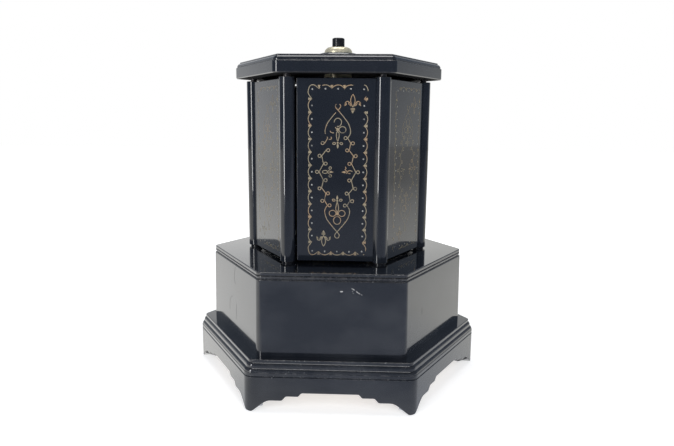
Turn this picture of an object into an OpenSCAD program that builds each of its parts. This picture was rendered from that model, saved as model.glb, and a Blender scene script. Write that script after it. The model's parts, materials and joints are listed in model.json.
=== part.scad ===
// Musical cigarette dispenser: a six-sided cabinet whose six doors swing out when the button is pressed.
// Origin on the table under the centre, +Z up, front door towards -Y, hexagon corners on the X axis.

/* [Plinth] */
// Step from the corner of the box to the corner of the plinth
plinth_step = 10.4; // [8:0.1:16]
// Height of the plain skirt
skirt_h = 24.1; // [20:0.1:32]
// Thickness of the skirt
skirt_wall = 8; // [6:0.5:9]
// Radius of the skirt's corners in plan
plinth_corner = 7; // [4:0.5:9]
// Radius of the two beads over the skirt
plinth_bead = 2.4; // [1.5:0.1:3]
// Height of the small step over each bead
plinth_bead_step = 0.82; // [0.4:0.02:1.5]
// Height of the lip of the ledge round the box
plinth_lip = 0.9; // [0.6:0.1:2]
// Rounding of that lip
plinth_edge = 0.4; // [0.2:0.1:0.6]
// Depth of the groove round the top of the skirt
plinth_groove = 0.5; // [0.2:0.1:0.8]
// Heights of the three levels of the scallop between the feet
scallop_h = [11.9, 9.7, 7]; // [2:0.1:14]
// Distances from the corner to the ends of the scallop's three slopes
scallop_x = [32.1, 29.5, 23.2, 19.8, 13.8, -1.5]; // [-2:0.1:36]

/* [Base box] */
// Height of the box walls
box_h = 45.9; // [38:0.1:60]
// Thickness of the box walls at the top
box_wall = 8; // [5:0.5:9]
// Draft of each wall from bottom to top
box_draft = 0.6; // [0:0.1:2]
// Radius of the box corners in plan
box_corner = 5; // [2:0.5:8]
// Rounding of the top edge of the box
box_round = 0.8; // [0.3:0.1:1.5]
// Thickness of the bottom panel
bottom_t = 6; // [4:0.5:8]

/* [Deck] */
// Deck beyond the door pivots, towards the corners
deck_margin = 30.2; // [29:0.1:45]
// Depth of the tongue that fits in the box
tongue_h = 3.3; // [3:0.1:6]
// Radius of the lower bead of the deck edge
deck_bead = 0.75; // [0.4:0.05:1]
// Depth of the grooves beside that bead
deck_groove = 0.9; // [0.4:0.1:1.5]
// Height of the plain band over that bead
deck_rise = 1.5; // [0.2:0.1:3]
// Rounding of the deck's top edge
deck_round = 0.6; // [0.4:0.1:2.5]

/* [Doors] */
// Radius of the circle of door pivots
pivot_r = 56; // [52:0.5:66]
// Radius of a door post
post_r = 4.8; // [4:0.1:6]
// Height of a door post
post_h = 110; // [100:1:130]
// Gap under a post, filled by its washer
post_gap = 1.2; // [0.8:0.1:2.5]
// Gap between the posts and the lid
lid_gap = 1.6; // [1.2:0.1:5]
// Radius of a pivot pin
pin_r = 2; // [1.5:0.1:2.4]
// Thickness of a door panel
panel_t = 5; // [4:0.2:6]
// Outer face of a panel in front of its pivot
panel_out = 2.2; // [1.5:0.1:3]
// Gap between a panel's free edge and the next post
door_gap = 0.9; // [0.5:0.1:2]
// Panel kept back from the ends of its post
panel_short = 0.6; // [0.2:0.1:2]
// Rounding of a panel's outer edges
panel_round = 0.8; // [0.3:0.1:1.5]
// How far the doors swing out
door_swing = 100; // [70:1:105]

/* [Cigarette racks] */
// Depth of the space for cigarettes
rack_depth = 9.6; // [8.5:0.1:11]
// Thickness of the brass sheet
rack_t = 0.8; // [0.5:0.1:1.2]
// Rack kept back from the pivot
rack_start = 8; // [7:0.5:12]
// Rack kept back from the panel's free edge
rack_end = 4.5; // [4:0.5:10]
// Height of the tray's floor over the post's foot
rack_floor = 8; // [3:0.5:15]
// Height of the tray's lip
rack_lip = 14; // [8:0.5:20]
// Height of the band over the tray's floor
band_up = 46; // [30:1:60]
// Width of the band
band_h = 8; // [5:0.5:12]

/* [Lid] */
// Lid beyond the posts, towards the corners
lid_over = 7.6; // [4:0.05:10]
// Height of the lid's plain band
lid_band = 7; // [5:0.1:9]
// Radius of the rounded moulding over the band
lid_ovolo = 2.5; // [1.5:0.1:3.5]
// Height of the small step at the top
lid_step = 0.95; // [0.8:0.05:2]
// Radius of the lid corners in plan
lid_corner = 4.5; // [3.5:0.5:7]
// Depth of the pivot holes in the lid
lid_hole = 6; // [4:0.5:7]
// Depth of the round hollow under the lid, between the pivots
lid_hollow = 4.5; // [2:0.5:5]
// Height of the turned boss
boss_h = 5.8; // [5:0.1:12]
// Radius of the boss at its foot
boss_r = 17; // [16.5:0.5:26]
// Radius of the boss over its foot
boss_top_r = 14.5; // [11:0.5:15.5]

/* [Button and tube] */
// Radius of the push button
button_r = 4.05; // [3:0.05:4.3]
// Height of the button over the bezel
button_h = 5.8; // [5.4:0.1:10]
// Travel of the button
button_travel = 5; // [3:0.1:5.2]
// Length of the button inside the bezel and tube
button_in = 12; // [9:0.5:20]
// Height of the bezel nut
bezel_h = 4.1; // [2.4:0.1:6]
// Radius of the bezel nut
bezel_r = 9.2; // [7.5:0.1:10.5]
// Outer radius of the centre tube
tube_r = 6; // [5.8:0.1:7]
// Wall of the centre tube
tube_wall = 1.3; // [0.8:0.1:1.4]
// Radius of the collar under the lid
collar_r = 9; // [7.5:0.1:12]
// Height of the collar under the lid
collar_h = 9; // [5:0.5:15]
// Radius of the push rod
rod_r = 2.5; // [2:0.1:2.8]
// Radius of the cross pin
cross_r = 1.25; // [0.8:0.05:1.5]

/* [Gears] */
// Teeth on the drive gear, a multiple of six
drive_teeth = 48; // [42:6:54]
// Teeth on each door pinion
pinion_teeth = 16; // [14:2:22]
// Thickness of the gears
gear_t = 4.5; // [3:0.5:6]
// Thickness taken off each tooth for play
gear_play = 0.15; // [0.1:0.01:0.3]
// Space between the gears and the deck's tongue
gear_drop = 2.6; // [2:0.1:6]
// Length of the gear's hub under the gear
hub_h = 14; // [12.5:0.5:18]
// Wall of the gear's hub
hub_wall = 3.5; // [2.5:0.1:5]

/* [Music movement] */
// Thickness of the movement's bed plate
bed_t = 3; // [2:0.5:5]
// Distance of the cylinder behind the centre
cylinder_y = 24; // [22:0.5:28]
// Radius of the pinned cylinder
cylinder_r = 6.5; // [5:0.1:7.5]
// Length of the pinned cylinder
cylinder_len = 36; // [30:1:40]
// Height of the spring barrel
barrel_h = 10; // [8:0.5:12]
// Teeth of the comb
comb_teeth = 15; // [9:1:18]
// Radius of the winding arbor
arbor_r = 2.5; // [2:0.1:3]
// Width of the winding key
key_w = 24; // [16:1:30]
// Height of the winding key
key_h = 9; // [6:0.5:12]

/* [Hidden] */
$fn = 48;
door_names = ["front", "front_right", "back_right", "back", "back_left", "front_left"];
door_pieces = ["door_panel", "door_post", "pivot_pin", "rack", "pinion"];
fixed_nodes = [
    "plinth", "bottom_panel", "bottom_screws", "base_box", "deck", "tube_flange", "flange_screws",
    "centre_tube", "lid_collar", "lid", "lid_boss", "bezel_nut", "rod_guides", "retaining_collar",
    "door_washers", "movement_frame", "movement_screws", "comb", "comb_screws", "button_cap",
    "push_rod", "cross_pin", "return_spring", "drive_gear", "stop_pin", "spring_barrel",
    "mainspring", "winding_key", "music_cylinder", "governor_fan"];

// Clearances: a seat between fixed pieces, a running fit, a gap between moving neighbours
seat = 0.02;
running = 0.06;
gap = 0.3;
past = 1;
sides = 6;
corner_steps = 6;
bead_steps = 4;
bead_turn = 60;

// Tooth proportions, as shares of the gear module
pressure_angle = 20;
dedendum = 1.25;
drive_addendum = 0.9;
wheel_addendum = 0.85;
crown_addendum = 0.7;

// Radii to the hexagon corners, and distances to its flat sides
box_r = pivot_r + deck_margin;
plinth_r = box_r + plinth_step;
lid_r = pivot_r + post_r + lid_over;
plinth_a = plinth_r * cos(30);
box_a = box_r * cos(30);
deck_a = box_a - box_draft;
box_in_a = deck_a - box_wall;
lid_a = lid_r * cos(30);

// Heights of the stack
bead_rise = plinth_bead * sin(bead_turn) + plinth_bead_step;
z_plinth = skirt_h + 2 * bead_rise + plinth_lip;
z_box = z_plinth + box_h;
deck_foot = 0.6;
deck_back = 0.3;
deck_edge = deck_foot + 2 * deck_bead + deck_rise + deck_round;
z_deck = z_box + deck_edge;
z_tongue = z_box - tongue_h;
z_post = z_deck + post_gap;
z_post_top = z_post + post_h;
z_lid = z_post_top + lid_gap;
lid_groove = 0.3;
lid_turn = 70;
z_lid_top = z_lid + lid_band + lid_groove + lid_ovolo * sin(lid_turn) + lid_step;
z_boss = z_lid_top + boss_h;
z_bezel = z_boss + bezel_h;
z_button = z_bezel + button_h;

// Bottom panel under the plinth's ring
ring_lip = 4;
ring_open_a = box_in_a - ring_lip;
z_floor = skirt_h;
z_under = z_floor - bottom_t;
bottom_a = plinth_a - skirt_wall - seat;
bottom_screw_a = (ring_open_a + bottom_a) / 2;
screw_r = 1.5;
screw_head_r = 3;
screw_head_h = 1.6;
screw_bite = 4.5;

// Doors
panel_in = panel_t - panel_out;
slot_wall = 1;
slot_x = pin_r + slot_wall;
panel_end = pivot_r - post_r - door_gap;
washer_back = 1.2;
washer_r = post_r - washer_back;
rack_x1 = panel_end - rack_end;
rack_y = panel_in + rack_depth + rack_t;
z_rack = z_post + rack_floor;

// Gears under the deck
gear_m = 2 * pivot_r / (drive_teeth + pinion_teeth);
drive_pitch = gear_m * drive_teeth / 2;
gear_turn = door_swing * pinion_teeth / drive_teeth;
z_gear_top = z_tongue - gear_drop;
z_gear = z_gear_top - gear_t;
z_hub = z_gear - hub_h;
hub_rise = 1.4;
hub_r = tube_r + hub_wall;
web_holes = 6;
web_turn = 45;
web_root = drive_pitch - dedendum * gear_m;
web_rim = 5;
web_wall = 2;
web_hole_at = (hub_r + web_root - web_rim) / 2;
web_hole_r = min((web_root - web_rim - hub_r) / 2, web_hole_at * sin(180 / web_holes)) - web_wall;

// Button, rod and tube
tube_in = tube_r - tube_wall;
retainer_h = 2.2;
retainer_gap = 0.2;
retainer_back = 0.5;
z_retainer = z_hub - retainer_gap - retainer_h;
tube_tail = 2;
z_tube = z_retainer - tube_tail;
thread_short = 0.1;
bezel_thread = bezel_h / 2 - thread_short;
z_tube_top = z_boss + bezel_thread;
z_button_foot = z_bezel - button_in;
slot_play = 0.25;
cross_cover = 1.5;
cross_back = 0.4;
z_cross = z_gear - cross_r - slot_play - cross_cover;
rod_tail = 1.5;
z_rod = z_tube - rod_tail;
rod_bore = 3;
guide_h = 4;
spring_len = 27;
z_seat = z_button_foot - spring_len;
flange_r = 14;
flange_t = 2;
flange_h = 6;
flange_hub = 2.5;
flange_screws_n = 3;
flange_screw_r = 1;
flange_screw_at = (flange_r + tube_r + flange_hub) / 2;

// Return spring
spring_wire = 0.45;
spring_turns = 9;
spring_rings = 8;
spring_sides = 6;
spring_r = (rod_r + tube_in) / 2;

// Music movement, placed so that the stop pin of the drive gear meets the governor's disc
wheel_m = 0.6;
wheel_teeth = 36;
governor_teeth = 12;
crown_m = 0.8;
crown_teeth = 42;
drum_pinion_teeth = 14;
small_play = 0.12;
governor_y = cylinder_y - wheel_m * (wheel_teeth + governor_teeth) / 2;
disc_r = 5;
disc_t = 1.2;
stop_pin_r = 0.8;
stop_pin_in = 2.2;
stop_pin_at = web_root - stop_pin_in;
disc_x = sqrt(pow(stop_pin_at, 2) - pow(governor_y, 2));
bearing_t = 2;
bearing_w = 4;
bearing_up = 4;
side_gap = 0.8;
wheel_t = 2;
wheel_gap = 1.5;
frame_b_x = disc_x - disc_t / 2 - side_gap - bearing_t;
wheel_x = frame_b_x - wheel_gap - wheel_t;
frame_c_x = wheel_x - wheel_gap - bearing_t;
drum_x = wheel_x + wheel_t - cylinder_len;
frame_a_x = drum_x - side_gap - bearing_t;
crown_w = 2;
crown_edge = 0.1;
drum_pinion_x = frame_a_x - side_gap - crown_w;
crown_r = crown_m * crown_teeth / 2;
barrel_x = drum_pinion_x + crown_w / 2 - crown_r;
barrel_r = crown_r + crown_w / 2 + crown_edge;
barrel_wall = 1.2;
barrel_lift = 1;
z_bed = z_floor + bed_t;
z_barrel = z_bed + barrel_lift;
z_crown = z_barrel + barrel_h;
crown_root = dedendum * crown_m;
crown_tip = crown_addendum * crown_m;
z_shaft = z_crown + crown_root + crown_m * drum_pinion_teeth / 2;
shaft_r = 1.5;
shaft_end = 1;
governor_shaft_r = 1;
governor_end = 0.5;
drum_pin = 0.6;
drum_pin_r = 0.3;
comb_t = 1;
comb_pitch = 2;
comb_slot = 0.6;
comb_reach = 6;
comb_heel = 5;
comb_in = 1.5;
comb_tip_y = cylinder_y + cylinder_r + drum_pin + gap;
comb_root_y = comb_tip_y + comb_reach;
comb_back_y = comb_root_y + comb_heel;
comb_x = drum_x + comb_in;
comb_w = comb_teeth * comb_pitch;
comb_screw_r = 1.2;
comb_screw_head_r = 2;
comb_screw_head_h = 1.2;
comb_screw_in = 3;
comb_screw_x = [comb_x + comb_screw_in, comb_x + comb_w - comb_screw_in];
comb_screw_y = (comb_root_y + comb_back_y) / 2;
comb_rest_back = 0.5;
bed_side = 1.2;
bed_end = 8;
bed_front = 20.5;
bed_back = 0.2;
bed_x0 = barrel_x - barrel_r - bed_side;
bed_x1 = disc_x + bed_end;
bed_y0 = cylinder_y - bed_front;
bed_y1 = comb_back_y + bed_back;
bed_screw_in = 3.5;
bed_screws = [
    [bed_x0 + bed_screw_in, bed_y1 - bed_screw_in],
    [bed_x1 - bed_screw_in, bed_y0 + bed_screw_in],
    [bed_x1 - bed_screw_in, bed_y1 - bed_screw_in]];
fan_gap = 2;
fan_x = disc_x + fan_gap;
fan_len = 5;
fan_r = 6;
fan_t = 0.6;
spring_strip = 0.5;
spring_hook = 1.5;
spring_room = 0.1;
main_turns = 7;
main_steps = 20;
main_in = arbor_r + spring_hook;
main_out = barrel_r - barrel_wall - spring_room;
key_t = 2.5;
key_web = 1;
key_hub_r = 4;
key_hub_h = 4;
key_gap = 0.4;
z_key = z_under - key_gap - key_hub_h - key_h;

// Points and outlines

function polar(r, angle) = [r * cos(angle), r * sin(angle)];

function arc(centre, r, from, to, steps = bead_steps) =
    [for (i = [0:steps]) centre + polar(r, from + (to - from) * i / steps)];

// Ring of a hexagon with rounded corners, at distance a from the axis to its flat sides
function hex_ring(a, z, corner) =
    [for (k = [0:sides - 1]) for (i = [0:corner_steps])
        let (middle = polar((a - corner) / cos(30), 60 * k),
             p = middle + polar(corner, 60 * k - 30 + 60 * i / corner_steps))
        [p[0], p[1], z]];

// Solid between rings of a profile of [distance to the flat side, height] points, from the bottom up
module hex_loft(profile, corner) {
    widest = max([for (p = profile) p[0]]);
    least = 1.2;
    ring = sides * (corner_steps + 1);
    levels = len(profile);
    points = [for (p = profile) each hex_ring(p[0], p[1], max(least, corner - (widest - p[0])))];
    walls = [for (j = [0:levels - 2]) for (i = [0:ring - 1])
        let (n = (i + 1) % ring, low = j * ring, high = low + ring)
        each [[low + i, high + i, high + n], [low + i, high + n, low + n]]];
    bottom = [for (i = [0:ring - 1]) i];
    top = [for (i = [ring - 1:-1:0]) (levels - 1) * ring + i];
    polyhedron(points, concat(walls, [bottom, top]), convexity = 6);
}

module hex_prism(a, z0, z1) {
    translate([0, 0, z0]) cylinder(r = a / cos(30), h = z1 - z0, $fn = sides);
}

module at_pivots() {
    for (k = [0:sides - 1]) rotate([0, 0, 60 * k]) translate([pivot_r, 0, 0]) children();
}

module at_sides(a) {
    for (k = [0:sides - 1]) rotate([0, 0, 60 * k + 30]) translate([a, 0, 0]) children();
}

// Door k: x from its pivot to its free edge, y outwards
module at_door(k) {
    rotate([0, 0, 60 * k + 300]) translate([pivot_r, 0, 0]) rotate([0, 0, -120]) children();
}

module tube(r_out, r_in, z0, z1) {
    translate([0, 0, z0]) difference() {
        cylinder(r = r_out, h = z1 - z0);
        translate([0, 0, -past]) cylinder(r = r_in, h = z1 - z0 + 2 * past);
    }
}

module rod(r, z0, z1) {
    translate([0, 0, z0]) cylinder(r = r, h = z1 - z0);
}

// Rod along X
module shaft(r, x0, x1) {
    translate([x0, 0, 0]) rotate([0, 90, 0]) cylinder(r = r, h = x1 - x0);
}

module block(low, high) {
    translate(low) cube(high - low);
}

// Involute gear outline
function involute(base, r) = let (t = sqrt(max(0, pow(r / base, 2) - 1))) t * 180 / PI - atan(t);

function gear_points(teeth, m, play, addendum = 1, steps = 4) =
    let (pitch = teeth * m / 2,
         base = pitch * cos(pressure_angle),
         tip = pitch + addendum * m,
         root = pitch - dedendum * m,
         start = max(base, root),
         half = 90 / teeth - play / 2 / pitch * 180 / PI + involute(base, pitch),
         radii = [for (s = [0:steps]) start + (tip - start) * s / steps],
         flank = [for (r = radii) [r, half - involute(base, r)]],
         side = root < base ? concat([[root, half]], flank) : flank,
         count = len(side))
    [for (i = [0:teeth - 1]) let (middle = 360 * i / teeth)
        each concat([for (p = side) polar(p[0], middle - p[1])],
                    [for (j = [count - 1:-1:0]) polar(side[j][0], middle + side[j][1])])];

module gear(teeth, m, play, thick, addendum = 1) {
    linear_extrude(thick) polygon(gear_points(teeth, m, play, addendum));
}

// Gear on a shaft along X, its outline's x axis pointing down
module shaft_gear(teeth, m, play, x0, thick, turn = 0, addendum = 1) {
    translate([x0, 0, 0]) rotate([0, 90, 0]) rotate([0, 0, turn]) gear(teeth, m, play, thick, addendum);
}

module screw(r, head_r, head_h, length) {
    rod(r, 0, length);
    rod(head_r, -head_h, 0);
}

// Plinth and box

function slope(x0, h0, x1, h1, steps = 8) =
    [for (i = [0:steps]) [x0 + (x1 - x0) * i / steps, h0 + (h1 - h0) * (1 - cos(180 * i / steps)) / 2]];

// The last slope dips under the table, and a wedge keeps each cut off the corner that the foot stands on
module scallop_cut() {
    scallop_dip = 1.2;
    foot_w = 6;
    wedge_end = plinth_a + 2 * past;
    wedge_half = (wedge_end - foot_w) * tan(30);
    half = plinth_r / 2;
    x = [for (d = scallop_x) half - d];
    right = concat(slope(x[0], scallop_h[0], x[1], scallop_h[1]),
                   slope(x[2], scallop_h[1], x[3], scallop_h[2]),
                   slope(x[4], scallop_h[2], x[5], -scallop_dip));
    left = [for (i = [len(right) - 1:-1:0]) [-right[i][0], right[i][1]]];
    floor_line = [[x[5], -2 * past], [-x[5], -2 * past]];
    for (k = [0:sides - 1]) rotate([0, 0, 60 * k + 30]) intersection() {
        translate([plinth_a - skirt_wall - past, 0, 0]) rotate([90, 0, 90])
            linear_extrude(skirt_wall + 2 * past) polygon(concat(right, floor_line, left));
        translate([0, 0, -3 * past]) linear_extrude(skirt_h)
            polygon([[foot_w, 0], [wedge_end, wedge_half], [wedge_end, -wedge_half]]);
    }
}

module plinth() {
    z1 = skirt_h + bead_rise;
    z2 = z1 + bead_rise;
    bead_back = 0.1;
    foot_back = 0.25;
    groove_z = skirt_h - 2.4;
    bead_in = plinth_bead * (1 - cos(bead_turn)) + bead_back;
    a0 = plinth_a - foot_back;
    a1 = a0 - bead_in;
    a2 = a1 - bead_in;
    profile = concat(
        [[plinth_a, 0], [plinth_a, groove_z - plinth_groove], [plinth_a - plinth_groove, groove_z]],
        [[plinth_a, groove_z + plinth_groove], [plinth_a, skirt_h - foot_back]],
        arc([a0 - plinth_bead, skirt_h], plinth_bead, 0, bead_turn),
        [[a1, z1 - plinth_bead_step]],
        arc([a1 - plinth_bead, z1], plinth_bead, 0, bead_turn),
        [[a2, z2 - plinth_bead_step]],
        arc([a2 - plinth_edge, z_plinth - plinth_edge], plinth_edge, 0, 90));
    color("#17181d") difference() {
        hex_loft(profile, plinth_corner);
        hex_prism(plinth_a - skirt_wall, -past, skirt_h);
        hex_prism(ring_open_a, skirt_h - past, z_plinth + past);
        scallop_cut();
        at_sides(bottom_screw_a) rod(screw_r + seat, 0, z_floor + screw_bite);
    }
}

module bottom_panel() {
    color("#5a4632") difference() {
        hex_prism(bottom_a, z_under, z_floor);
        at_sides(bottom_screw_a) rod(screw_r + seat, 0, z_plinth);
        translate([barrel_x, cylinder_y, 0]) rod(arbor_r + gap, 0, z_plinth);
        for (p = bed_screws) translate(p) rod(screw_r + seat, 0, z_plinth);
    }
}

module bottom_screws() {
    color("#b59a5a") at_sides(bottom_screw_a) translate([0, 0, z_under])
        screw(screw_r, screw_head_r, screw_head_h, bottom_t + screw_bite - seat);
}

module base_box() {
    profile = concat([[box_a, z_plinth]],
                     arc([deck_a - box_round, z_box - box_round], box_round, 0, 90));
    color("#1b1c22") difference() {
        hex_loft(profile, box_corner);
        hex_prism(box_in_a, z_plinth - past, z_box + past);
    }
}

module deck() {
    z1 = z_box + deck_foot;
    z2 = z1 + 2 * deck_bead;
    a1 = deck_a - deck_groove;
    a2 = deck_a - deck_back;
    quirk = deck_rise / 5;
    profile = concat(
        [[a1, z_box]],
        arc([a1, z1 + deck_bead], deck_bead, -90, 90),
        [[a1 - gap, z2], [a1 - gap, z2 + quirk], [a2, z2 + quirk]],
        arc([a2 - deck_round, z_deck - deck_round], deck_round, 0, 90));
    color("#17181d") difference() {
        union() {
            hex_loft(profile, box_corner);
            hex_prism(box_in_a - seat, z_tongue, z_box + deck_foot);
        }
        at_pivots() rod(pin_r + running, z_tongue - past, z_deck + past);
        rod(tube_r + seat, z_tongue - past, z_deck + past);
        at_flange_screws() rod(flange_screw_r + seat, z_tongue - past, z_deck + past);
    }
}

module at_flange_screws() {
    for (i = [0:flange_screws_n - 1]) rotate([0, 0, 360 * i / flange_screws_n])
        translate([flange_screw_at, 0, 0]) children();
}

module tube_flange() {
    color("#b08a45") difference() {
        union() {
            rod(flange_r, z_deck, z_deck + flange_t);
            rod(tube_r + flange_hub, z_deck, z_deck + flange_h);
        }
        rod(tube_r + seat, z_deck - past, z_deck + flange_h + past);
        at_flange_screws() rod(flange_screw_r + seat, z_deck - past, z_deck + flange_t + past);
    }
}

module flange_screws() {
    color("#c9c9c9") at_flange_screws() translate([0, 0, z_deck + flange_t]) mirror([0, 0, 1])
        screw(flange_screw_r, 2 * flange_screw_r, flange_screw_r, flange_t + tongue_h);
}

module door_washers() {
    color("#b08a45") at_pivots() tube(washer_r, pin_r + running, z_deck, z_post - running);
}

// Centre tube, lid and button

module centre_tube() {
    color("#b08a45") difference() {
        tube(tube_r, tube_in, z_tube, z_tube_top);
        for (z = [z_cross, z_cross - button_travel]) translate([0, 0, z])
            shaft(cross_r + slot_play, -tube_r - past, tube_r + past);
        block([-tube_r - past, -cross_r - slot_play, z_cross - button_travel],
              [tube_r + past, cross_r + slot_play, z_cross]);
    }
}

module lid_collar() {
    top = z_lid + lid_hollow;
    color("#b08a45") tube(collar_r, tube_r + seat, top - collar_h, top);
}

module lid() {
    edge = 0.5;
    band_back = 0.7;
    step_back = 0.25;
    ovolo_from = 15;
    hollow_in = 6;
    z1 = z_lid + lid_band;
    z2 = z1 + lid_groove;
    z3 = z2 + lid_ovolo * sin(lid_turn);
    a1 = lid_a - band_back;
    a2 = a1 - lid_ovolo * (1 - cos(lid_turn));
    a3 = a2 - step_back;
    profile = concat(
        [[lid_a - edge, z_lid], [lid_a, z_lid + edge]],
        arc([lid_a - edge, z1 - edge], edge, 0, 90),
        [[a1 - gap, z1], [a1 - gap, z2], [a1, z2]],
        arc([a1 - lid_ovolo, z2], lid_ovolo, ovolo_from, lid_turn),
        [[a3, z3], [a3, z_lid_top - edge]],
        [[a3 - edge, z_lid_top]]);
    color("#1b1c22") difference() {
        hex_loft(profile, lid_corner);
        at_pivots() rod(pin_r + running, z_lid - past, z_lid + lid_hole);
        rod(pivot_r - hollow_in, z_lid - past, z_lid + lid_hollow);
        rod(tube_r + seat, z_lid - past, z_lid_top + past);
    }
}

module lid_boss() {
    foot = 1;
    round_r = 3.2;
    steps = 6;
    cove_w = boss_r - boss_top_r;
    cove_h = boss_h - foot - round_r;
    cove = [for (i = [0:steps])
        [boss_r - cove_w * sin(90 * i / steps), foot + cove_h * (1 - cos(90 * i / steps))]];
    profile = concat(
        [[tube_r + seat, 0], [boss_r, 0]], cove,
        arc([boss_top_r - round_r, boss_h - round_r], round_r, 0, 90, steps),
        [[tube_r + seat, boss_h]]);
    color("#17181d") translate([0, 0, z_lid_top]) rotate_extrude() polygon(profile);
}

module bezel_nut() {
    hole = button_r + gap;
    lip = 1;
    rim = 0.4;
    steps = 6;
    wide = bezel_r - hole - lip;
    high = bezel_h - rim;
    dome = [for (i = [0:steps]) [hole + lip + wide * cos(90 * i / steps), rim + high * sin(90 * i / steps)]];
    profile = concat(
        [[tube_r + seat, 0], [bezel_r, 0]], dome,
        [[hole, bezel_h], [hole, bezel_thread], [tube_r + seat, bezel_thread]]);
    color("#c09a50") translate([0, 0, z_boss]) rotate_extrude() polygon(profile);
}

module rod_guides() {
    color("#b08a45") {
        tube(tube_in - seat, rod_r + running, z_tube, z_tube + guide_h);
        tube(tube_in - seat, rod_r + running, z_seat - guide_h, z_seat);
    }
}

module retaining_collar() {
    color("#9a9a9a") tube(hub_r - retainer_back, tube_r + seat, z_retainer, z_retainer + retainer_h);
}

module button_cap() {
    edge = 0.9;
    top = z_button - z_button_foot;
    profile = concat([[0, 0], [button_r, 0]],
                     arc([button_r - edge, top - edge], edge, 0, 90), [[0, top]]);
    color("#101014") translate([0, 0, z_button_foot]) difference() {
        rotate_extrude() polygon(profile);
        rod(rod_r + seat, -past, rod_bore);
    }
}

module push_rod() {
    color("#c9c9c9") difference() {
        rod(rod_r, z_rod, z_button_foot + rod_bore);
        translate([0, 0, z_cross]) shaft(cross_r + seat, -rod_r - past, rod_r + past);
    }
}

module cross_pin() {
    reach = hub_r - cross_back;
    color("#c9c9c9") translate([0, 0, z_cross]) shaft(cross_r, -reach, reach);
}

// Compression spring around the rod, one tube swept along a helix
module return_spring() {
    rings = spring_turns * spring_rings;
    low = z_seat + spring_wire + running;
    rise = (z_button_foot - z_seat - 2 * spring_wire - 2 * running) / rings;
    points = [for (i = [0:rings]) for (j = [0:spring_sides - 1])
        let (turn = 360 * i / spring_rings, p = polar(spring_wire, 360 * j / spring_sides))
        [(spring_r + p[0]) * cos(turn), (spring_r + p[0]) * sin(turn), low + rise * i + p[1]]];
    walls = [for (i = [0:rings - 1]) for (j = [0:spring_sides - 1])
        let (n = (j + 1) % spring_sides, a = i * spring_sides, b = a + spring_sides)
        each [[a + j, a + n, b + n], [a + j, b + n, b + j]]];
    first = [for (j = [spring_sides - 1:-1:0]) j];
    last = [for (j = [0:spring_sides - 1]) rings * spring_sides + j];
    color("#c9c9c9") polyhedron(points, concat(walls, [first, last]), convexity = 10);
}

// Drive gear: the cross pin runs down its two helical slots and turns it
module drive_gear() {
    slot_steps = 14;
    color("#b08a45") difference() {
        union() {
            translate([0, 0, z_gear]) gear(drive_teeth, gear_m, gear_play, gear_t, drive_addendum);
            rod(hub_r, z_hub, z_gear_top + hub_rise);
        }
        rod(tube_r + running, z_hub - past, z_gear_top + hub_rise + past);
        for (i = [0:web_holes - 1]) rotate([0, 0, 360 * i / web_holes + web_turn])
            translate([web_hole_at, 0, 0]) rod(web_hole_r, z_gear - past, z_gear_top + past);
        for (i = [0:slot_steps]) rotate([0, 0, gear_turn * i / slot_steps])
            translate([0, 0, z_cross - button_travel * i / slot_steps])
                shaft(cross_r + slot_play, -hub_r - past, hub_r + past);
        translate([disc_x, governor_y, 0]) rod(stop_pin_r + seat, z_gear - past, z_gear_top + past);
    }
}

module stop_pin() {
    color("#c9c9c9") translate([disc_x, governor_y, 0]) rod(stop_pin_r, z_shaft + disc_r + gap, z_gear_top);
}

// Door pieces

module door_panel(k) {
    outline = concat(
        [[slot_x, -panel_in], [panel_end, -panel_in]],
        arc([panel_end - panel_round, panel_out - panel_round], panel_round, 0, 90),
        [[slot_x, panel_out]]);
    color("#15161b") at_door(k) translate([0, 0, z_post + panel_short])
        linear_extrude(post_h - 2 * panel_short) polygon(outline);
}

module door_post(k) {
    color("#1b1c22") at_door(k) difference() {
        tube(post_r, pin_r + seat, z_post, z_post_top);
        block([slot_x, -panel_in, z_post + panel_short],
              [post_r + past, panel_out, z_post_top - panel_short]);
    }
}

module pivot_pin(k) {
    color("#8a8a8a") at_door(k) rod(pin_r, z_gear - past, z_lid + lid_hole - gap);
}

// Tray with a lip, and a band higher up, that hold a row of cigarettes against the door
module rack(k) {
    x0 = rack_start;
    y0 = -rack_y;
    y1 = -panel_in;
    color("#b08a45") at_door(k) {
        difference() {
            block([x0, y0, z_rack], [rack_x1, y1, z_rack + rack_lip]);
            block([x0 + rack_t, y0 + rack_t, z_rack + rack_t],
                  [rack_x1 - rack_t, y1 + past, z_rack + rack_lip + past]);
        }
        difference() {
            block([x0, y0, z_rack + band_up], [rack_x1, y1, z_rack + band_up + band_h]);
            block([x0 + rack_t, y0 + rack_t, z_rack], [rack_x1 - rack_t, y1 + past, z_post_top]);
        }
    }
}

module pinion(k) {
    color("#b08a45") at_door(k) difference() {
        translate([0, 0, z_gear]) rotate([0, 0, -60 + 180 / pinion_teeth])
            gear(pinion_teeth, gear_m, gear_play, gear_t);
        rod(pin_r + seat, z_gear - past, z_gear_top + past);
    }
}

// Music movement in the base

module at_drum() {
    translate([0, cylinder_y, z_shaft]) children();
}

module at_governor() {
    translate([0, governor_y, z_shaft]) children();
}

// Upright plate that holds the shafts between y0 and y1
module bearing_plate(x, y0, y1) {
    block([x, y0 - bearing_w, z_floor], [x + bearing_t, y1 + bearing_w, z_shaft + bearing_up]);
}

module at_comb_screws() {
    for (x = comb_screw_x) translate([x, comb_screw_y, z_shaft]) children();
}

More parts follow.
